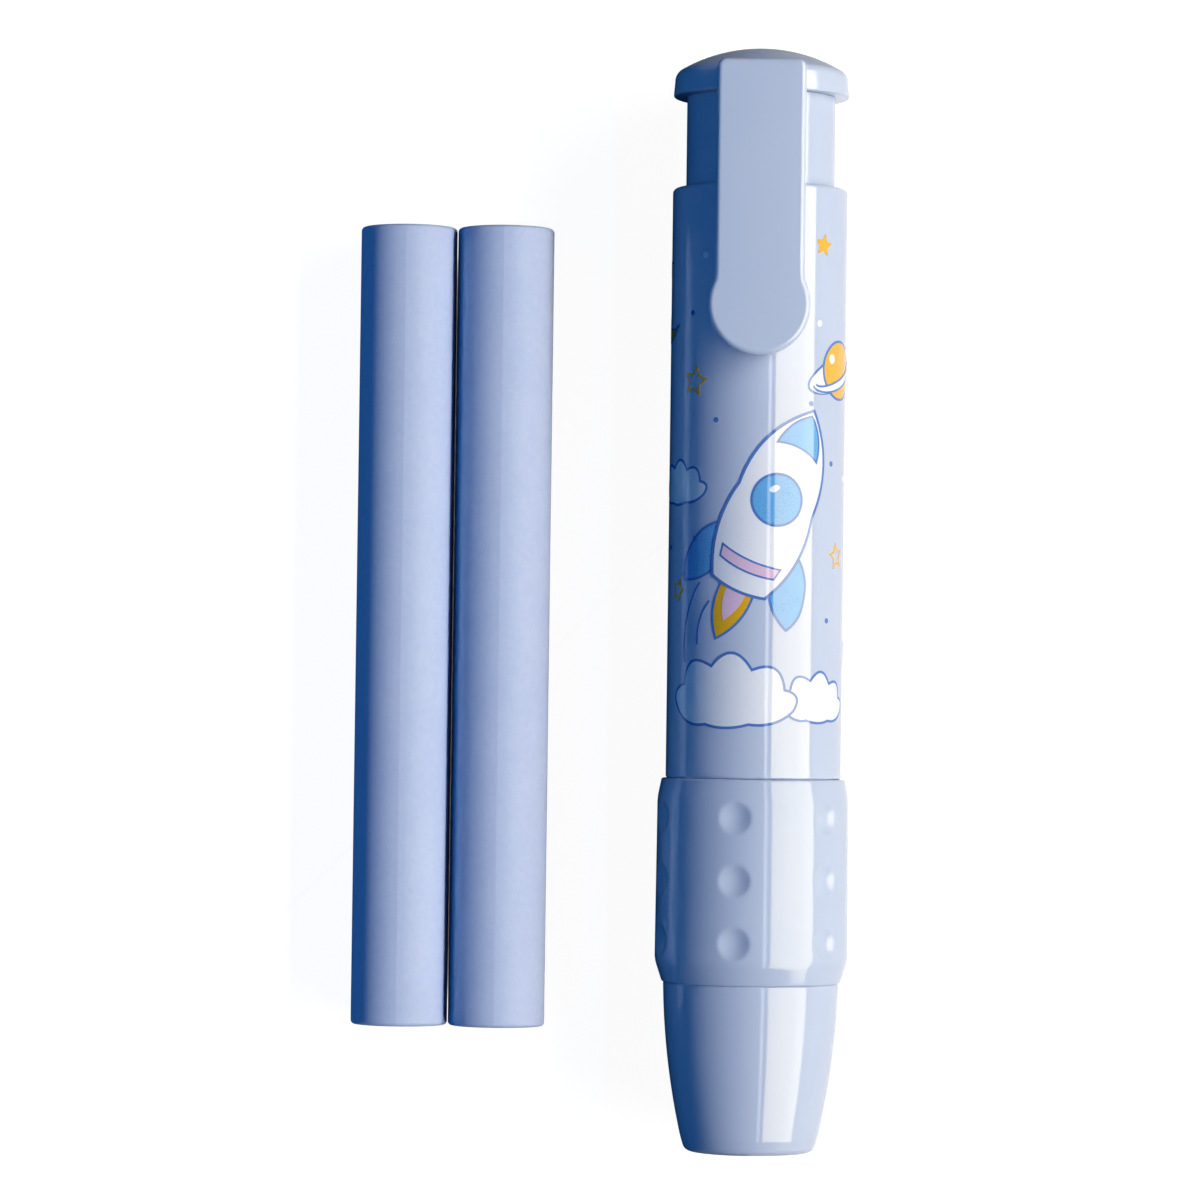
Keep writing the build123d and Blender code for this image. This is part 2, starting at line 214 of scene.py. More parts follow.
def make_moulded():
    """Injection-moulded plastic: faint flow clouds, a fine skin, and fine rub marks along the holder."""
    group, given, out = new_group(
        "moulded_skin",
        [
            ("Colour", "NodeSocketColor", (0.5, 0.6, 0.8, 1.0)),
            ("Cloud", "NodeSocketFloat", 0.04),
            ("Gloss", "NodeSocketFloat", 0.1),
            ("Rub", "NodeSocketFloat", 0.05),
            ("Skin", "NodeSocketFloat", 0.3),
        ],
        [("Colour", "NodeSocketColor"), ("Roughness", "NodeSocketFloat"), ("Height", "NodeSocketFloat")],
    )
    place = group.nodes.new("ShaderNodeTexCoord").outputs["Object"]
    cloud = span_of(group, noise_of(group, place, 95.0, 3.0), 0.3, 0.7)
    darker = mixed(group, 1.0, given.outputs["Colour"], (0.86, 0.9, 0.95, 1.0), "MULTIPLY")
    share = maths(group, "MULTIPLY", cloud, given.outputs["Cloud"])
    group.links.new(mixed(group, share, given.outputs["Colour"], darker), out.inputs["Colour"])
    drawn = group.nodes.new("ShaderNodeMapping")
    drawn.inputs["Scale"].default_value = (2600.0, 90.0, 2600.0)
    group.links.new(place, drawn.inputs["Vector"])
    streak = span_of(group, noise_of(group, drawn.outputs[0], 1.0, 2.0), 0.66, 0.74)
    patch = span_of(group, noise_of(group, place, 60.0, 1.0), 0.5, 0.7)
    rub = maths(group, "MULTIPLY", maths(group, "MULTIPLY", streak, patch), given.outputs["Rub"])
    breath = maths(group, "MULTIPLY", cloud, 0.025)
    rough = maths(group, "ADD", maths(group, "ADD", given.outputs["Gloss"], rub), breath)
    group.links.new(rough, out.inputs["Roughness"])
    skin = noise_of(group, place, 1500.0, 2.0)
    wave = noise_of(group, place, 210.0, 1.0)
    fine = maths(group, "MULTIPLY", skin, given.outputs["Skin"])
    group.links.new(maths(group, "ADD", fine, wave), out.inputs["Height"])
    return group


def make_mottle():
    """Soft eraser plastic: fine chalky mottling, pits and a faint drag of the extruder along it."""
    group, given, out = new_group(
        "eraser_mottle",
        [
            ("Colour", "NodeSocketColor", (0.5, 0.6, 0.85, 1.0)),
            ("Deep", "NodeSocketColor", (0.4, 0.5, 0.8, 1.0)),
            ("Mottle", "NodeSocketFloat", 0.4),
        ],
        [("Colour", "NodeSocketColor"), ("Roughness", "NodeSocketFloat"), ("Height", "NodeSocketFloat")],
    )
    place = group.nodes.new("ShaderNodeTexCoord").outputs["Object"]
    grain = noise_of(group, place, 1400.0, 4.0, 0.7)
    spread = noise_of(group, place, 170.0, 3.0, 0.6)
    both = maths(group, "ADD", maths(group, "MULTIPLY", grain, 0.6), maths(group, "MULTIPLY", spread, 0.4))
    share = maths(group, "MULTIPLY", span_of(group, both, 0.38, 0.62), given.outputs["Mottle"])
    group.links.new(mixed(group, share, given.outputs["Colour"], given.outputs["Deep"]), out.inputs["Colour"])
    group.links.new(span_of(group, grain, 0.3, 0.7, 0.62, 0.78), out.inputs["Roughness"])
    drawn = group.nodes.new("ShaderNodeMapping")
    drawn.inputs["Scale"].default_value = (1700.0, 60.0, 1700.0)
    group.links.new(place, drawn.inputs["Vector"])
    drag = noise_of(group, drawn.outputs[0], 1.0, 2.0)
    pits = noise_of(group, place, 2600.0, 2.0)
    height = maths(group, "ADD", maths(group, "MULTIPLY", drag, 0.5), pits)
    group.links.new(height, out.inputs["Height"])
    return group


def make_drawn_metal():
    """Drawn or turned metal: fine lines round the axis and a few duller patches."""
    group, given, out = new_group(
        "drawn_metal",
        [("Colour", "NodeSocketColor", (0.6, 0.6, 0.62, 1.0)), ("Gloss", "NodeSocketFloat", 0.25)],
        [("Colour", "NodeSocketColor"), ("Roughness", "NodeSocketFloat"), ("Height", "NodeSocketFloat")],
    )
    place = group.nodes.new("ShaderNodeTexCoord").outputs["Object"]
    drawn = group.nodes.new("ShaderNodeMapping")
    drawn.inputs["Scale"].default_value = (150.0, 9000.0, 150.0)
    group.links.new(place, drawn.inputs["Vector"])
    lines = noise_of(group, drawn.outputs[0], 1.0, 3.0)
    patch = noise_of(group, place, 300.0, 2.0)
    darker = mixed(group, 1.0, given.outputs["Colour"], (0.7, 0.7, 0.72, 1.0), "MULTIPLY")
    share = span_of(group, lines, 0.4, 0.7, 0.0, 0.6)
    group.links.new(mixed(group, share, given.outputs["Colour"], darker), out.inputs["Colour"])
    rough = maths(group, "ADD", given.outputs["Gloss"], span_of(group, patch, 0.4, 0.7, 0.0, 0.14))
    group.links.new(rough, out.inputs["Roughness"])
    group.links.new(lines, out.inputs["Height"])
    return group


def make_ink():
    """Printed ink: fine dots of the screen and a slightly uneven lay."""
    group, given, out = new_group(
        "printed_ink",
        [
            ("Colour", "NodeSocketColor", (0.8, 0.8, 0.8, 1.0)),
            ("Dot Colour", "NodeSocketColor", (0.7, 0.7, 0.7, 1.0)),
            ("Dots", "NodeSocketFloat", 0.3),
            ("Gloss", "NodeSocketFloat", 0.1),
        ],
        [("Colour", "NodeSocketColor"), ("Roughness", "NodeSocketFloat"), ("Height", "NodeSocketFloat")],
    )
    place = group.nodes.new("ShaderNodeTexCoord").outputs["Object"]
    dots = group.nodes.new("ShaderNodeTexVoronoi")
    dots.inputs["Scale"].default_value = 5200.0
    group.links.new(place, dots.inputs["Vector"])
    dot = span_of(group, dots.outputs["Distance"], 0.25, 0.45, 1.0, 0.0)
    lay = span_of(group, noise_of(group, place, 420.0, 2.0), 0.35, 0.65)
    share = maths(group, "MULTIPLY", maths(group, "MULTIPLY", dot, lay), given.outputs["Dots"])
    colour = mixed(group, share, given.outputs["Colour"], given.outputs["Dot Colour"])
    group.links.new(colour, out.inputs["Colour"])
    rough = maths(group, "ADD", given.outputs["Gloss"], maths(group, "MULTIPLY", lay, 0.03))
    group.links.new(rough, out.inputs["Roughness"])
    group.links.new(lay, out.inputs["Height"])
    return group


moulded = make_moulded()
mottle = make_mottle()
drawn_metal = make_drawn_metal()
printed_ink = make_ink()


def finish_material(name, group, values, bump_strength, bump_depth, **shader):
    """A material whose shader takes colour, roughness and a bump from a shared effect."""
    material = bpy.data.materials.new(name)
    material.use_nodes = True
    tree = material.node_tree
    plastic = tree.nodes["Principled BSDF"]
    for label, value in shader.items():
        plastic.inputs[label.replace("_", " ")].default_value = value
    effect = tree.nodes.new("ShaderNodeGroup")
    effect.node_tree = group
    for label, value in values.items():
        effect.inputs[label].default_value = value
    tree.links.new(effect.outputs["Colour"], plastic.inputs["Base Color"])
    tree.links.new(effect.outputs["Roughness"], plastic.inputs["Roughness"])
    bump = tree.nodes.new("ShaderNodeBump")
    bump.inputs["Strength"].default_value = bump_strength
    bump.inputs["Distance"].default_value = bump_depth
    tree.links.new(effect.outputs["Height"], bump.inputs["Height"])
    tree.links.new(bump.outputs["Normal"], plastic.inputs["Normal"])
    return material


barrel_blue = linear(194, 206, 229)
grip_blue = linear(193, 206, 229)
cap_blue = linear(199, 212, 234)
eraser_blue = linear(194, 208, 238)

barrel_plastic = finish_material(
    "barrel_plastic",
    moulded,
    {"Colour": barrel_blue, "Cloud": 0.25, "Gloss": 0.05, "Rub": 0.12, "Skin": 0.15},
    0.05,
    0.00006,
)
grip_plastic = finish_material(
    "grip_plastic",
    moulded,
    {"Colour": grip_blue, "Cloud": 0.35, "Gloss": 0.07, "Rub": 0.1, "Skin": 0.3},
    0.1,
    0.00008,
    Specular_IOR_Level=0.4,
)
cap_plastic = finish_material(
    "cap_plastic",
    moulded,
    {"Colour": cap_blue, "Cloud": 0.3, "Gloss": 0.09, "Rub": 0.15, "Skin": 0.3},
    0.07,
    0.00006,
)
nozzle_plastic = finish_material(
    "nozzle_plastic",
    moulded,
    {"Colour": barrel_blue, "Cloud": 0.3, "Gloss": 0.06, "Rub": 0.1, "Skin": 0.15},
    0.05,
    0.00006,
    Specular_IOR_Level=0.4,
)
inner_plastic = finish_material(
    "inner_plastic",
    moulded,
    {"Colour": barrel_blue, "Cloud": 0.25, "Gloss": 0.1, "Rub": 0.25, "Skin": 0.2},
    0.06,
    0.00006,
)
eraser_rubber = finish_material(
    "eraser_rubber",
    mottle,
    {"Colour": eraser_blue, "Deep": linear(180, 196, 232), "Mottle": 0.6},
    0.12,
    0.00008,
    Specular_IOR_Level=0.25,
)
spring_steel = finish_material(
    "spring_steel", drawn_metal, {"Colour": linear(196, 198, 203), "Gloss": 0.22}, 0.1, 0.00003, Metallic=1.0
)
ring_metal = finish_material(
    "ring_metal", drawn_metal, {"Colour": linear(208, 196, 160), "Gloss": 0.28}, 0.12, 0.00004, Metallic=1.0
)
ring_rubber = finish_material(
    "ring_rubber",
    mottle,
    {"Colour": linear(66, 70, 78), "Deep": linear(44, 46, 52), "Mottle": 0.5},
    0.12,
    0.00006,
    Specular_IOR_Level=0.3,
)
inks = [
    finish_material(
        name,
        printed_ink,
        {"Colour": colour, "Dot Colour": dot, "Dots": dots, "Gloss": 0.05},
        0.04,
        0.00003,
    )
    for name, colour, dot, dots in (
        ("ink_white", linear(240, 243, 250), linear(226, 232, 246), 0.5),
        ("ink_outline", linear(84, 128, 200), linear(70, 112, 188), 0.5),
        ("ink_sky", linear(104, 176, 232), linear(70, 146, 214), 0.8),
        ("ink_gold", linear(240, 184, 36), linear(226, 160, 20), 0.5),
        ("ink_pink", linear(232, 200, 226), linear(220, 180, 214), 0.6),
    )
]
white, outline, sky, gold, pink = range(len(inks))

node_materials = {
    "barrel": barrel_plastic,
    "grip_sleeve": grip_plastic,
    "nozzle": nozzle_plastic,
    "brake_ring": ring_rubber,
    "clutch_ring": ring_metal,
    "collet": inner_plastic,
    "magazine_tube": inner_plastic,
    "spring_washer": ring_metal,
    "return_spring": spring_steel,
    "knock_cap": cap_plastic,
    "clip": cap_plastic,
    "eraser_core": eraser_rubber,
    "spare_refill_left": eraser_rubber,
    "spare_refill_right": eraser_rubber,
}
for node_name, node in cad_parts.items():
    node.data.materials.clear()
    node.data.materials.append(node_materials[node_name])


# New pieces


def close_up(bm, name, materials, sharp_angle=32.0):
    """A finished piece from a bmesh: merged, outward, and smooth but for its sharp edges."""
    bmesh.ops.remove_doubles(bm, verts=bm.verts, dist=mm / 1e4)
    bmesh.ops.recalc_face_normals(bm, faces=bm.faces)
    for face in bm.faces:
        face.smooth = True
    for edge in bm.edges:
        edge.smooth = len(edge.link_faces) == 2 and edge.calc_face_angle(0.0) < radians(sharp_angle)
    mesh = bpy.data.meshes.new(name)
    bm.to_mesh(mesh)
    bm.free()
    for material in materials:
        mesh.materials.append(material)
    piece = bpy.data.objects.new(name, mesh)
    bpy.context.scene.collection.objects.link(piece)
    return piece


def round_off(bm, geom, affect, setback, segments, clamp=False):
    """Rounds corners or edges off by a setback in millimetres."""
    bmesh.ops.bevel(
        bm,
        geom=geom,
        offset=setback * mm,
        offset_type="OFFSET",
        affect=affect,
        segments=segments,
        profile=0.5,
        material=-1,
        clamp_overlap=clamp,
    )


def meridian_loop(bm, corners, ring_gap=None):
    """A closed outline of (radius, station, setback) beside the axis, its corners rounded.

    Edges that are longer than the ring gap are divided.
    """
    verts = [bm.verts.new(holder_place(radius, station, 0)) for radius, station, _ in corners]
    for first, second in zip(verts, verts[1:] + verts[:1]):
        bm.edges.new((first, second))
    for vert, (_, _, setback) in zip(verts, corners):
        if setback:
            round_off(bm, [vert], "VERTICES", setback, 7)
    if ring_gap:
        for edge in list(bm.edges):
            cuts = int(edge.calc_length() / (ring_gap * mm))
            if cuts:
                bmesh.ops.subdivide_edges(bm, edges=[edge], cuts=cuts)


def spin_round(bm, steps):
    """Turns what a bmesh holds once round the holder's axis."""
    bmesh.ops.spin(
        bm,
        geom=bm.verts[:] + bm.edges[:],
        cent=axis_place,
        axis=(0, 1, 0),
        dvec=(0, 0, 0),
        angle=tau,
        space=Matrix.Identity(4),
        steps=steps,
        use_merge=True,
        use_normal_flip=False,
        use_duplicate=False,
    )


def press_dimples(bm):
    """Presses the rows of soft round dimples into the grip's skin."""
    columns = [
        radians(dimple_first_angle + 360 * column / dimple_columns) for column in range(dimple_columns)
    ]
    first_row = -(dimple_rows - 1) / 2
    rows = [dimple_middle_station + (row + first_row) * dimple_row_pitch for row in range(dimple_rows)]
    for vert in bm.verts:
        beside = vert.co - axis_place
        station = beside.y / mm
        radius = Vector((beside.x, beside.z)).length / mm
        if radius < barrel_radius:
            continue
        turn = atan2(beside.x, beside.z)
        for column in columns:
            round_way = (turn - column + pi) % tau - pi
            for row in rows:
                away = sqrt((round_way * radius) ** 2 + (station - row) ** 2) / dimple_reach
                if away < 1:
                    depth = dimple_depth * (1 - away**2) ** dimple_softness
                    push = (radius - depth) / radius
                    vert.co.x = axis_place.x + beside.x * push
                    vert.co.z = axis_place.z + beside.z * push


def make_grip():
    """The grip's soft skin over the barrel's core."""
    bm = bmesh.new()
    meridian_loop(
        bm,
        [
            (grip_core_radius, grip_front_station, 0),
            (grip_front_end_radius, grip_front_station, grip_end_setback),
            (grip_front_radius, grip_front_edge_station, grip_edge_setback),
            (grip_rear_radius, grip_rear_edge_station, grip_edge_setback),
            (grip_rear_end_radius, barrel_front_station, grip_end_setback),
            (grip_core_radius, barrel_front_station, 0),
        ],
        ring_gap=grip_ring_gap,
    )
    spin_round(bm, grip_spin_steps)
    press_dimples(bm)
    return close_up(bm, "grip_skin", [grip_plastic])


def make_cap():
    """The knock cap's rim, dome and hollow spigot, without the clip's lug."""
    dome_rise = overall_length - cap_rim_top_station
    dome_radius = (dome_rim_radius**2 + dome_rise**2) / (2 * dome_rise)
    dome_half = asin(dome_rim_radius / dome_radius)
    dome = []
    for step in range(1, dome_steps):
        turn = dome_half * (1 - step / dome_steps)
        dome.append((dome_radius * sin(turn), overall_length - dome_radius * (1 - cos(turn)), 0))
    bm = bmesh.new()
    verts_on_axis = [(0, overall_length, 0), (0, cap_ceiling_station, 0)]
    meridian_loop(
        bm,
        [
            (cap_hollow_radius, cap_spigot_station, cap_mouth_setback),
            (cap_spigot_radius, cap_spigot_station, cap_spigot_setback),
            (cap_spigot_radius, cap_underside_station, cap_root_setback),
            (cap_rim_radius, cap_underside_station, cap_rim_under_setback),
            (dome_rim_radius, cap_rim_top_station, cap_rim_top_setback),
            *dome,
            *verts_on_axis,
            (cap_hollow_radius, cap_ceiling_station, cap_ceiling_setback),
        ],
    )
    for edge in [e for e in bm.edges if all(abs(v.co.x - axis_place.x) < mm / 1e4 for v in e.verts)]:
        bm.edges.remove(edge)
    spin_round(bm, cap_spin_steps)
    return close_up(bm, "cap_moulding", [cap_plastic])


def make_clip():
    """The clip's arm and round foot in one with the lug that joins it to the cap."""
    half = clip_width / 2
    waist_turn = asin(half / clip_bulb_radius)
    points = [(-half, clip_lug_end_station)]
    for step in range(clip_foot_steps + 1):
        turn = -waist_turn - (tau - 2 * waist_turn) * step / clip_foot_steps
        points.append((clip_bulb_radius * sin(turn), clip_foot_station + clip_bulb_radius * cos(turn)))
    points.append((half, clip_lug_end_station))
    bm = bmesh.new()
    verts = [bm.verts.new(holder_place(across, station, clip_underside_height)) for across, station in points]
    for first, second in zip(verts, verts[1:] + verts[:1]):
        bm.edges.new((first, second))
    for vert, setback in (
        (verts[0], clip_corner_setback),
        (verts[-1], clip_corner_setback),
        (verts[1], clip_waist_setback),
        (verts[-2], clip_waist_setback),
    ):
        round_off(bm, [vert], "VERTICES", setback, 8)
    bmesh.ops.contextual_create(bm, geom=bm.edges[:])
    for station in (cap_underside_station, *clip_cross_cuts()):
        bmesh.ops.bisect_plane(
            bm,
            geom=bm.verts[:] + bm.edges[:] + bm.faces[:],
            dist=mm / 1e5,
            plane_co=holder_place(0, station, 0),
            plane_no=(0, 1, 0),
        )
    flat = bm.faces[:]
    raised = bmesh.ops.extrude_face_region(bm, geom=flat, use_keep_orig=True)
    top = [item for item in raised["geom"] if isinstance(item, bmesh.types.BMVert)]
    bmesh.ops.translate(bm, verts=top, vec=(0, 0, clip_thickness * mm))
    lug_line = tip_y * mm + cap_underside_station * mm
    lug_floor = [
        face
        for face in bm.faces
        if face.calc_center_median().y > lug_line
        and abs(face.calc_center_median().z - (holder_z + clip_underside_height) * mm) < mm / 100
        and abs(face.normal.z) > 0.9
    ]
    lowered = bmesh.ops.extrude_face_region(bm, geom=lug_floor)
    bmesh.ops.delete(bm, geom=lug_floor, context="FACES")
    lug_low = [item for item in lowered["geom"] if isinstance(item, bmesh.types.BMVert)]
    bmesh.ops.translate(bm, verts=lug_low, vec=(0, 0, -clip_lug_sink * mm))
    bmesh.ops.recalc_face_normals(bm, faces=bm.faces)
    top_z = (holder_z + clip_top_height) * mm
    low_z = (holder_z + clip_underside_height) * mm

    def rim(level):
        """The edges between the wall and a flat face at a level."""
        return [
            edge
            for edge in bm.edges
            if len(edge.link_faces) == 2
            and all(abs(vert.co.z - level) < mm / 1e3 for vert in edge.verts)
            and sum(abs(face.normal.z) < 0.5 for face in edge.link_faces) == 1
        ]

    round_off(bm, rim(top_z), "EDGES", clip_edge_round, 8, clamp=True)
    round_off(bm, rim(low_z), "EDGES", clip_under_round, 4, clamp=True)
    nub = bmesh.ops.create_cone(
        bm,
        cap_ends=True,
        cap_tris=False,
        segments=40,
        radius1=clip_nub_radius * mm,
        radius2=clip_nub_radius * mm,
        depth=(clip_underside_height + clip_under_round - clip_nub_height) * mm,
    )
    nub_middle = (clip_underside_height + clip_under_round + clip_nub_height) / 2
    bmesh.ops.translate(bm, verts=nub["verts"], vec=holder_place(0, clip_foot_station, nub_middle))
    nub_low = (holder_z + clip_nub_height) * mm
    nub_edges = [edge for edge in bm.edges if all(abs(vert.co.z - nub_low) < mm / 1e3 for vert in edge.verts)]
    round_off(bm, nub_edges, "EDGES", clip_nub_round, 6)
    return close_up(bm, "clip_arm", [cap_plastic])


def clip_cross_cuts():
    """Stations of the lines across the arm, close together where it bends."""
    fine = [clip_bend_end_station + clip_bend_cut_gap * step for step in range(clip_bend_cuts)]
    apart = [station for station in fine if abs(station - cap_underside_station) > clip_bend_cut_gap / 4]
    return apart + clip_arm_cut_stations


def make_spring():
    """The return spring, one wire with a closer turn at each end, wound by spinning its section."""
    bm = bmesh.new()
    section = bmesh.ops.create_circle(
        bm, cap_ends=True, segments=spring_section_sides, radius=spring_wire / 2 * mm
    )
    first_place = holder_place(spring_mean_radius, spring_first_station, 0)
    bmesh.ops.translate(bm, verts=section["verts"], vec=first_place)
    middle_rise = spring_last_station - spring_first_station - 2 * spring_end_pitch
    middle_turns = spring_turns - 2
    front = bm.faces[:]
    for turns, rise in ((1, spring_end_pitch), (middle_turns, middle_rise), (1, spring_end_pitch)):
        steps = spring_turn_steps * turns
        swept = bmesh.ops.spin(
            bm,
            geom=front,
            cent=axis_place,
            axis=(0, 1, 0),
            dvec=(0, rise / steps * mm, 0),
            angle=tau * turns,
            space=Matrix.Identity(4),
            steps=steps,
            use_merge=False,
            use_normal_flip=False,
            use_duplicate=False,
        )
        front = [item for item in swept["geom_last"] if isinstance(item, bmesh.types.BMFace)]
    return close_up(bm, "return_spring_wire", [spring_steel], sharp_angle=60.0)


grip_skin = make_grip()
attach(grip_skin, "barrel_body")
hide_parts("grip_sleeve")

cap_moulding = make_cap()
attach(cap_moulding, "cap_body")
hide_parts("knock_cap")

clip_arm = make_clip()
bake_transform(clip_arm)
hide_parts("clip")

return_spring_wire = make_spring()
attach(return_spring_wire, "barrel_body")
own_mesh(return_spring_wire)
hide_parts("return_spring")


# Print on the barrel: thin films of ink, laid out flat as (way round, station) and bent round it

film_thickness = 0.02
film_cut = 0.35
blue_dots = [(-4.4, 74.6), (5.8, 76.4), (8.9, 70.4), (-6.9, 62.6), (-11.8, 61.8), (-7.6, 85.6)]
blue_dots += [(8.4, 54.4), (24.0, 84.0), (16.8, 78.0), (35.0, 73.0), (26.4, 62.6), (35.8, 53.0)]
white_dots = [(-3.0, 55.2), (6.8, 84.6), (-5.9, 91.4), (12.2, 69.0)]
white_dots += [(14.4, 88.6), (24.4, 56.6), (33.6, 66.2), (22.4, 94.0)]


def circle(across, station, radius, stretch=1.0, lean=0.0, count=64):
    """The outline of a circle or an ellipse, leaning by an angle."""
    points = []
    for step in range(count):
        turn = tau * step / count
        a, b = radius * cos(turn), radius * stretch * sin(turn)
        points.append((across + a * cos(lean) - b * sin(lean), station + a * sin(lean) + b * cos(lean)))
    return points


def arc_between(first, second, bulge, count=14):
    """Points from one place to another along an arc that swells to the right by the bulge."""
    (ax, ay), (bx, by) = first, second
    chord = sqrt((bx - ax) ** 2 + (by - ay) ** 2)
    side_x, side_y = (by - ay) / chord, -(bx - ax) / chord
    points = []
    for step in range(count):
        share = step / count
        swell = 4 * bulge * share * (1 - share)
        points.append((ax + (bx - ax) * share + side_x * swell, ay + (by - ay) * share + side_y * swell))
    return points


def swelled(places, bulges):
    """A closed outline through places, each side an arc with its own bulge."""
    points = []
    for first, second, bulge in zip(places, places[1:] + places[:1], bulges):
        points += arc_between(first, second, bulge)
    return points


def placed(points, across, station, lean=0.0, size=1.0):
    """An outline turned by an angle, sized and moved to its place on the barrel."""
    c, s = cos(radians(lean)), sin(radians(lean))
    return [(across + size * (x * c + y * s), station + size * (y * c - x * s)) for x, y in points]


def ribbon(points, width):
    """The outline of a line of ink along points, with blunt ends."""
    left, right = [], []
    for index, (x, y) in enumerate(points):
        ax, ay = points[max(index - 1, 0)]
        bx, by = points[min(index + 1, len(points) - 1)]
        length = sqrt((bx - ax) ** 2 + (by - ay) ** 2)
        nx, ny = -(by - ay) / length * width / 2, (bx - ax) / length * width / 2
        left.append((x + nx, y + ny))
        right.append((x - nx, y - ny))
    return left + right[::-1]


def star(radius, inner_share=0.52):
    """A five-pointed star, one point up, with its corners a little rounded."""
    tips = []
    for step in range(10):
        reach = radius * (1 if step % 2 == 0 else inner_share)
        turn = tau * step / 10
        tips.append((reach * sin(turn), reach * cos(turn)))
    points = []
    for index, (x, y) in enumerate(tips):
        ax, ay = tips[index - 1]
        bx, by = tips[(index + 1) % len(tips)]
        for share in (0.24, 0.12):
            points.append((x + (ax - x) * share, y + (ay - y) * share))
        points.append((x * 0.965, y * 0.965))
        for share in (0.12, 0.24):
            points.append((x + (bx - x) * share, y + (by - y) * share))
    return points


class Print:
    """Films of ink that share one bmesh; each lies on a level above the barrel."""

    def __init__(self):
        self.bm = bmesh.new()

    def film(self, points, fill, line=None, line_width=0.26, level=0):
        """A filled outline, with a line of another ink inside its edge."""
        part = bmesh.new()
        verts = [part.verts.new((x * mm, y * mm, 0)) for x, y in points]
        face = part.faces.new(verts)
        part.normal_update()
        if face.normal.z < 0:
            face.normal_flip()
        face.material_index = fill if line is None or fill is not None else line
        if line is not None:
            ring = bmesh.ops.inset_region(
                part,
                faces=[face],
                use_boundary=True,
                use_even_offset=True,
                thickness=line_width * mm,
                depth=0,
            )["faces"]
            for side in ring:
                side.material_index = line
            if fill is None:
                bmesh.ops.delete(part, geom=[f for f in part.faces if f not in ring], context="FACES")
        self.bend(part, level)

    def stroke(self, points, ink, width=0.26, level=0):
        """A line of ink along points."""
        self.film(ribbon(points, width), ink, level=level)

    def bend(self, part, level):
        """Cuts a flat film across the bend, lays it round the barrel and gives it its thickness."""
        low = min(vert.co.x for vert in part.verts)
        high = max(vert.co.x for vert in part.verts)
        cut = (int(low / (film_cut * mm)) - 1) * film_cut * mm
        while cut < high:
            bmesh.ops.bisect_plane(
                part,
                geom=part.verts[:] + part.edges[:] + part.faces[:],
                dist=1e-8,
                plane_co=(cut, 0, 0),
                plane_no=(1, 0, 0),
            )
            cut += film_cut * mm
        top = bmesh.ops.extrude_face_region(part, geom=part.faces[:], use_keep_orig=True)
        for item in top["geom"]:
            if isinstance(item, bmesh.types.BMVert):
                item.co.z = 1.0
        radius_low = barrel_radius - film_thickness / 2
        radius_top = barrel_radius + film_thickness * (level + 1)
        for vert in part.verts:
            turn = vert.co.x / (barrel_radius * mm)
            radius = radius_top if vert.co.z > 0.5 else radius_low
            station = vert.co.y / mm
            vert.co = holder_place(radius * sin(turn), station, radius * cos(turn))
        bmesh.ops.recalc_face_normals(part, faces=part.faces)
        scrap = bpy.data.meshes.new("scrap")
        part.to_mesh(scrap)
        part.free()
        self.bm.from_mesh(scrap)
        bpy.data.meshes.remove(scrap)

    def done(self, name):
        """The finished print; its shine follows the barrel's own round."""
        bm = self.bm
        for face in bm.faces:
            face.smooth = True
        mesh = bpy.data.meshes.new(name)
        bm.to_mesh(mesh)
        bm.free()
        for ink in inks:
            mesh.materials.append(ink)
        normals = []
        for polygon in mesh.polygons:
            for loop in polygon.loop_indices:
                place = mesh.vertices[mesh.loops[loop].vertex_index].co
                out = Vector((place.x - axis_place.x, 0, place.z - axis_place.z)).normalized()
                normals.append(out if polygon.normal.dot(out) > 0.9 else polygon.normal.copy())
        mesh.normals_split_custom_set(normals)
        piece = bpy.data.objects.new(name, mesh)
        bpy.context.scene.collection.objects.link(piece)
        return piece


def cloud_outline(width, height):
    """A puffy cloud with a flat-ish foot, wider than high."""
    w, h = width / 2, height / 2
    puffs = [
        (-w, -h * 0.55, -h * 0.3),
        (-w * 0.85, h * 0.2, -h * 0.42),
        (-w * 0.3, h * 0.72, -h * 0.42),
        (w * 0.35, h * 0.62, -h * 0.36),
        (w * 0.86, h * 0.05, -h * 0.26),
        (w, -h * 0.6, -h * 0.16),
        (w * 0.3, -h, -h * 0.1),
        (-w * 0.4, -h, -h * 0.18),
    ]
    return swelled([(x, y) for x, y, _ in puffs], [bulge for _, _, bulge in puffs])


def crescent(radius, count=40):
    """A crescent moon, open to the right."""
    points = []
    for step in range(count):
        turn = radians(52 + 256 * step / (count - 1))
        points.append((radius * cos(turn), radius * sin(turn)))
    inner = radius * 0.82
    shift = radius * 0.46
    start = atan2(points[-1][1], points[-1][0] - shift) % tau
    end = atan2(points[0][1], points[0][0] - shift)
    for step in range(1, count - 1):
        turn = start + (end - start) * step / (count - 1)
        points.append((shift + inner * cos(turn), inner * sin(turn)))
    return points


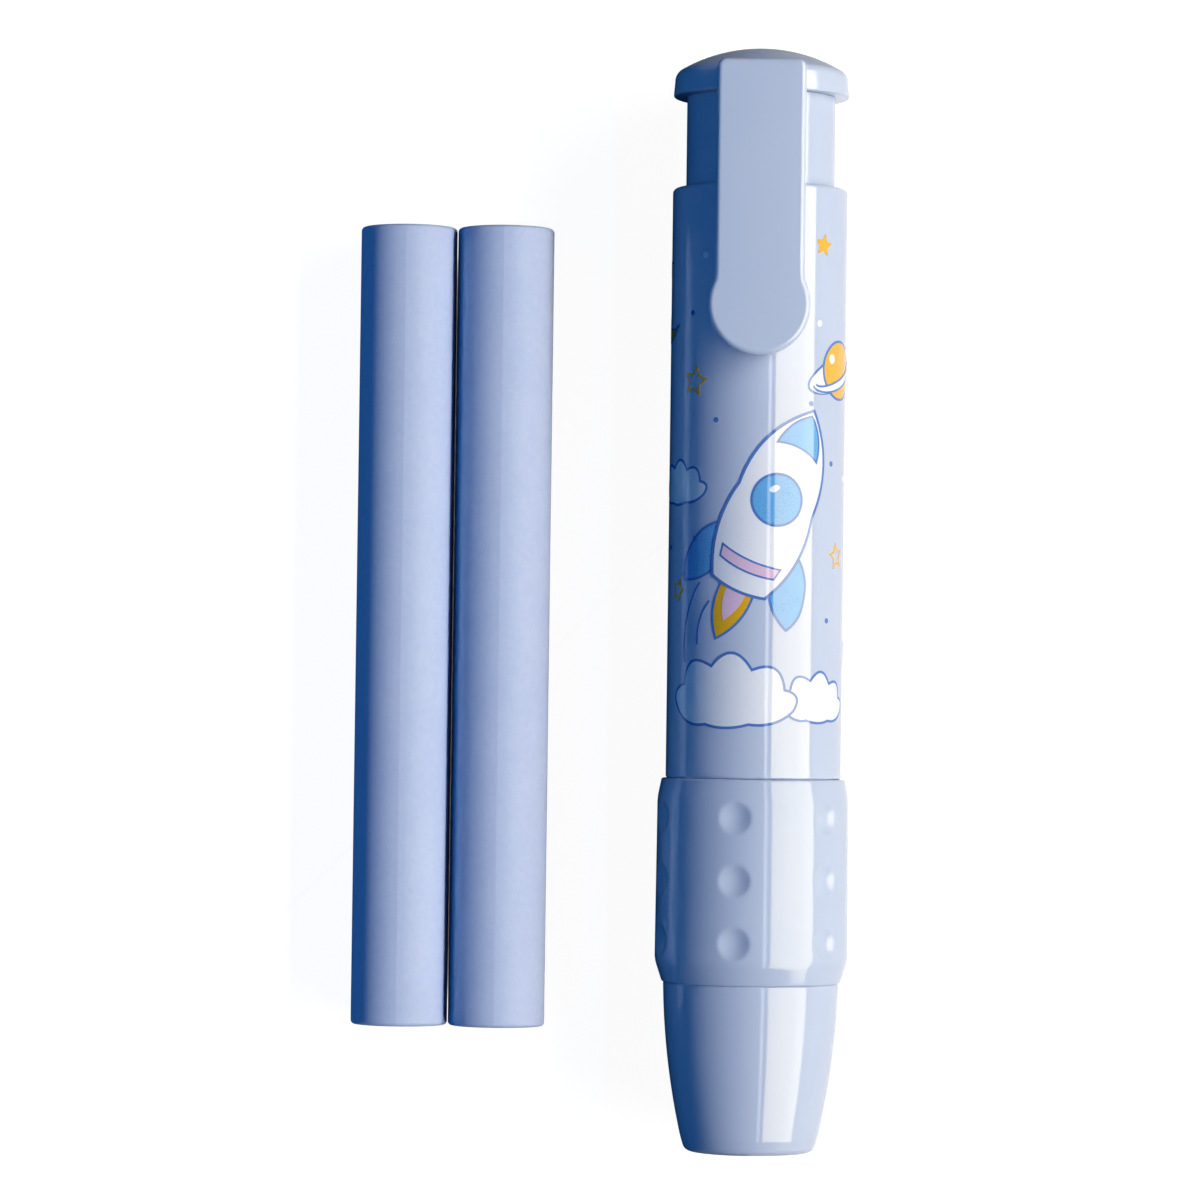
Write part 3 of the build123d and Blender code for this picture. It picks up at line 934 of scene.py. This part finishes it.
def print_rocket(sheet, across, station, lean, size=1.0):
    """A plain rocket with one round window, two fins and a flame."""

    def at(points):
        return placed(points, across, station, lean, size)

    sheet.film(at(swelled([(-1.9, -7.4), (0, -13.4), (1.9, -7.4)], [0.75, 0.75, 0])), gold, outline)
    sheet.film(at(swelled([(-1.0, -7.4), (0, -11.2), (1.0, -7.4)], [0.4, 0.4, 0])), pink, level=1)
    left_fin = swelled([(-3.4, -1.5), (-7.0, -6.0), (-6.4, -9.6), (-2.9, -6.6)], [0.8, 0.4, 0.5, 0.0])
    sheet.film(at(left_fin), sky, outline)
    right_fin = swelled([(3.4, -1.5), (2.9, -6.6), (6.4, -9.6), (7.0, -6.0)], [0.0, 0.5, 0.4, 0.8])
    sheet.film(at(right_fin), sky, outline)
    body_places = [(0, 12.4), (4.4, 2.2), (3.1, -7.6), (-3.1, -7.6), (-4.4, 2.2)]
    body = swelled(body_places, [-1.5, -0.9, -0.45, -0.9, -1.5])
    sheet.film(at(body), white, outline, 0.3, level=2)
    nose = swelled([(0, 11.7), (2.55, 7.4), (-2.55, 7.4)], [-0.62, 0.5, -0.62])
    sheet.film(at(nose), sky, outline, 0.22, level=3)
    sheet.film(at(circle(0, 2.2, 2.75)), sky, outline, 0.26, level=3)
    sheet.film(at(circle(-0.75, 3.1, 0.55, 0.6, 0.8, 24)), white, level=4)
    band = swelled([(-3.35, -4.0), (3.35, -4.0), (3.1, -5.4), (-3.1, -5.4)], [0.45, 0, -0.45, 0])
    sheet.film(at(band), pink, outline, 0.2, level=3)


def print_planet(sheet, across, station, lean, radius, body=sky):
    """A planet with a ring that passes in front of it, and a glint."""

    def at(points):
        return placed(points, across, station, lean)

    ring = circle(0, 0, radius * 1.75, 0.34, 0, 72)
    sheet.film(at(ring), white, outline, 0.24)
    sheet.film(at(circle(0, 0, radius)), body, outline, 0.26, level=1)
    turns = [pi + pi * step / 24 for step in range(25)]
    front = [(radius * 1.5 * cos(turn), radius * 0.42 * sin(turn)) for turn in turns]
    sheet.stroke(at(front), white, radius * 0.26, level=2)
    sheet.stroke(at([(x * 1.02, y * 1.3) for x, y in front]), outline, 0.2, level=3)
    sheet.stroke(at([(x * 0.93, y * 0.66) for x, y in front]), outline, 0.2, level=3)
    sheet.film(at(circle(-radius * 0.35, radius * 0.52, radius * 0.16, 1.0, 0, 20)), white, level=2)


def print_star(sheet, across, station, radius, lean=0.0, fill=None):
    """A small star in gold line, or filled."""
    sheet.film(placed(star(radius), across, station, lean), fill, gold, 0.22)


def print_dots(sheet, places, ink, radius=0.28):
    """Small round dots."""
    for across, station in places:
        sheet.film(circle(across, station, radius, count=18), ink)


def make_print():
    """The night-sky pattern all round the barrel."""
    sheet = Print()
    print_rocket(sheet, 1.2, 64.5, 24)
    sheet.film(placed(cloud_outline(13.5, 7.2), -2.6, 47.2), white, outline, 0.28, level=1)
    sheet.film(placed(cloud_outline(9.0, 5.0), 7.4, 46.6), white, outline, 0.26)
    sheet.film(placed(cloud_outline(8.0, 4.4), -9.6, 68.4), white, outline, 0.26)
    print_planet(sheet, 10.4, 80.0, -22, 3.1, gold)
    print_star(sheet, -7.2, 78.6, 1.7, 12)
    print_star(sheet, 10.2, 61.0, 1.5, -10)
    print_star(sheet, -9.6, 57.4, 1.3, 20)
    print_star(sheet, 7.3, 92.6, 1.2, 8, gold)
    for turn_back in (18.2, 28.27, 38.2):
        print_star(sheet, turn_back, 91.0 - (turn_back - 18.2) * 0.3, 1.4, turn_back * 4)
    sheet.film(placed(crescent(4.2), -13.5, 87.0, -20), gold, outline, 0.24)
    sheet.film(placed(cloud_outline(11.0, 6.0), 19.5, 52.0), white, outline, 0.26)
    print_planet(sheet, 21.5, 69.5, 18, 3.8)
    sheet.film(placed(crescent(3.6), 31.0, 58.5, 15), white, outline, 0.24)
    sheet.film(placed(cloud_outline(10.0, 5.4), 30.5, 79.5), white, outline, 0.26)
    print_star(sheet, 16.4, 61.4, 1.3, 0)
    print_star(sheet, 38.6, 69.0, 1.5, 30)
    print_star(sheet, 27.4, 47.4, 1.3, 15)
    print_star(sheet, 39.0, 48.0, 1.2, 40)
    print_dots(sheet, blue_dots, outline)
    print_dots(sheet, white_dots, white, 0.34)
    sheet.stroke(arc_between((-8.2, 50.0), (-5.8, 58.6), -1.0, 16), outline, 0.22)
    sheet.stroke(arc_between((-6.4, 51.8), (-4.6, 56.6), -0.6, 12), outline, 0.22)
    return sheet.done("barrel_print")


barrel_print = make_print()
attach(barrel_print, "barrel_body")


# Floor, light and camera, in metres

floor_half = 12.0
wall_radius = 11.0
wall_height = 6.0
wall_middle = 2.9
paper_glow = 0.955
# How far the paper looks for things over it when it paints its contact shade.
painted_shade_reach = 0.012
groove_x = -0.01562
gap_x = 0.0005
low_card_height = 0.00002
card_far_x = -0.25
camera_place = Vector((0.014, -0.0123, 0.5243))
camera_aim = Vector((-0.00048, -0.00006, 0))
camera_roll = radians(0.75)


def sees_background(tree):
    """1 for camera, glossy and transmission rays, so that gloss shows the pale ground too."""
    path = tree.nodes.new("ShaderNodeLightPath")
    seen = maths(tree, "MAXIMUM", path.outputs["Is Camera Ray"], path.outputs["Is Glossy Ray"])
    return maths(tree, "MAXIMUM", seen, path.outputs["Is Transmission Ray"])


def paper_material():
    """Pale studio paper: white to the eye with a faint shadow, and a painted contact shade that darkens its
    glow where things touch it or lie close over it.
    """
    material = bpy.data.materials.new("studio_paper")
    material.use_nodes = True
    tree = material.node_tree
    tree.nodes.clear()
    out = tree.nodes.new("ShaderNodeOutputMaterial")
    choose = tree.nodes.new("ShaderNodeMixShader")
    dim = tree.nodes.new("ShaderNodeBsdfDiffuse")
    dim.inputs["Color"].default_value = (0.015, 0.085, 0.22, 1.0)
    # Painted contact shade: ambient occlusion cuts the paper's glow where things lie close over it, as in the
    # groove under the two sticks.
    painted_contact_shade = tree.nodes.new("ShaderNodeAmbientOcclusion")
    painted_contact_shade.inputs["Distance"].default_value = painted_shade_reach
    unshaded_by_painted_shade = span_of(tree, painted_contact_shade.outputs["AO"], 0.02, 0.12)
    glow = tree.nodes.new("ShaderNodeEmission")
    glow.inputs["Color"].default_value = (1.0, 1.0, 1.0, 1.0)
    tree.links.new(maths(tree, "MULTIPLY", unshaded_by_painted_shade, paper_glow), glow.inputs["Strength"])
    paper = tree.nodes.new("ShaderNodeBsdfDiffuse")
    paper.inputs["Color"].default_value = (0.2, 0.2, 0.2, 1.0)
    both = tree.nodes.new("ShaderNodeAddShader")
    tree.links.new(glow.outputs[0], both.inputs[0])
    tree.links.new(paper.outputs[0], both.inputs[1])
    tree.links.new(sees_background(tree), choose.inputs[0])
    tree.links.new(dim.outputs[0], choose.inputs[1])
    tree.links.new(both.outputs[0], choose.inputs[2])
    tree.links.new(choose.outputs[0], out.inputs["Surface"])
    return material


def card_material(name, colour=(0.01, 0.03, 0.07, 1.0), fades=False):
    """A matt dark blue card, as stands beside a set to keep light off it; it can fade out towards +X."""
    material = bpy.data.materials.new(name)
    material.use_nodes = True
    tree = material.node_tree
    tree.nodes.clear()
    out = tree.nodes.new("ShaderNodeOutputMaterial")
    card = tree.nodes.new("ShaderNodeBsdfDiffuse")
    card.inputs["Color"].default_value = colour
    surface = card
    if fades:
        place = tree.nodes.new("ShaderNodeTexCoord")
        parts = tree.nodes.new("ShaderNodeSeparateXYZ")
        tree.links.new(place.outputs["Object"], parts.inputs[0])
        surface = tree.nodes.new("ShaderNodeMixShader")
        tree.links.new(span_of(tree, parts.outputs["X"], 0.004, 0.05), surface.inputs[0])
        tree.links.new(card.outputs[0], surface.inputs[1])
        tree.links.new(tree.nodes.new("ShaderNodeBsdfTransparent").outputs[0], surface.inputs[2])
    tree.links.new(surface.outputs[0], out.inputs["Surface"])
    return material


def add_stage(name, bm, material):
    """A piece of the studio, which isn't part of the object."""
    bmesh.ops.recalc_face_normals(bm, faces=bm.faces)
    mesh = bpy.data.meshes.new(name)
    bm.to_mesh(mesh)
    bm.free()
    mesh.materials.append(material)
    piece = bpy.data.objects.new(name, mesh)
    bpy.context.scene.collection.objects.link(piece)
    return piece


def make_studio():
    """A wide pale floor, a pale wall far round it, and cards that keep light off the left sides.

    The camera sees no card. The two cards beside the sticks also stop light from one piece to the next.
    """
    paper = paper_material()
    bm = bmesh.new()
    bmesh.ops.create_grid(bm, x_segments=1, y_segments=1, size=floor_half)
    add_stage("floor", bm, paper)
    bm = bmesh.new()
    bmesh.ops.create_cone(
        bm, cap_ends=False, segments=64, radius1=wall_radius, radius2=wall_radius, depth=wall_height
    )
    bmesh.ops.translate(bm, verts=bm.verts, vec=(0, 0, wall_middle))
    add_stage("wall", bm, paper)
    dark = card_material("dark_card")
    fading = card_material("fading_card", fades=True)
    blue = card_material("blue_card", colour=(0.03, 0.17, 0.42, 1.0))
    for name, low, high, board in (
        ("card_low", (card_far_x, -0.3, low_card_height), (holder_x * mm, 0.058, low_card_height), dark),
        ("card_beyond", (card_far_x, 0.058, low_card_height), (0.055, 0.3, low_card_height), fading),
        ("card_upright", (card_far_x, -0.6, 0.0), (card_far_x, 0.6, 0.4), dark),
        ("card_between", (gap_x, -0.08, 0.0), (gap_x, 0.08, 0.0115), dark),
        ("card_in_groove", (groove_x, -0.045, 0.0), (groove_x, 0.039, 0.0078), blue),
    ):
        bm = bmesh.new()
        corners = [low, (high[0], low[1], high[2]), high, (low[0], high[1], low[2])]
        bm.faces.new([bm.verts.new(corner) for corner in corners])
        card = add_stage(name, bm, board)
        card.visible_camera = False
        card.visible_diffuse = name in ("card_between", "card_in_groove")
        card.visible_shadow = False
        card.visible_transmission = False


def make_world():
    """A weak blue fill from all round."""
    world = bpy.data.worlds.new("studio_air")
    world.use_nodes = True
    air = world.node_tree.nodes["Background"]
    air.inputs["Color"].default_value = (0.12, 0.4, 1.0, 1.0)
    air.inputs["Strength"].default_value = 0.1
    bpy.context.scene.world = world


def add_panel(
    name, low_turn, high_turn, distance, length, radiance, colour=(1, 1, 1), glossy=True, diffuse=True
):
    """A flat soft light that fills the directions between two angles from straight up, towards +X.

    Its long side lies along the holder. Radiance is in shares of white.
    """
    middle = radians((low_turn + high_turn) / 2)
    half_width = distance * tan(radians((high_turn - low_turn) / 2))
    lamp = bpy.data.lights.new(name, "AREA")
    lamp.shape = "RECTANGLE"
    lamp.size = 2 * half_width
    lamp.size_y = length
    lamp.energy = 4 * radiance * (2 * half_width) * length
    lamp.color = colour
    panel = bpy.data.objects.new(name, lamp)
    bpy.context.scene.collection.objects.link(panel)
    toward = Vector((sin(middle), 0, cos(middle)))
    panel.location = axis_place + Vector((0, -axis_place.y, 0)) + toward * distance
    across = Vector((cos(middle), 0, -sin(middle)))
    panel.matrix_world = Matrix(
        (
            (across.x, 0, toward.x, panel.location.x),
            (across.y, 1, toward.y, panel.location.y),
            (across.z, 0, toward.z, panel.location.z),
            (0, 0, 0, 1),
        )
    )
    panel.visible_glossy = glossy
    panel.visible_diffuse = diffuse
    panel.visible_camera = False
    return panel


add_panel("key_soft", 41.0, 49.0, 0.62, 0.9, 16.0, colour=(1.0, 0.965, 0.91), glossy=False)
add_panel("key_low", 75.0, 87.0, 0.62, 0.9, 1.8, colour=(1.0, 0.85, 0.6), glossy=False)
add_panel("key_shine", 23.0, 78.0, 0.55, 0.82, 6.2, colour=(1.0, 0.85, 0.5), diffuse=False)
add_panel("edge_shine", 13.6, 17.6, 0.5, 0.7, 3.5, diffuse=False)
add_panel("left_fill", -86.0, -30.0, 0.6, 0.9, 0.42, colour=(0.06, 0.38, 1.0), glossy=False)


def make_camera():
    """Above the holder and aimed at the middle of the set, at the photograph's distance and lean."""
    lens = bpy.data.cameras.new("camera")
    lens.lens = 150.0
    lens.sensor_width = 36.0
    lens.clip_start = 0.05
    lens.clip_end = 50.0
    camera = bpy.data.objects.new("camera", lens)
    bpy.context.scene.collection.objects.link(camera)
    camera.location = camera_place
    back = (camera.location - camera_aim).normalized()
    right = Vector((-sin(camera_roll), cos(camera_roll), 0)).cross(back).normalized()
    camera.rotation_euler = Matrix((right, back.cross(right), back)).transposed().to_euler()
    bpy.context.scene.camera = camera


make_studio()
make_world()
make_camera()
bpy.context.scene.view_settings.view_transform = "Standard"
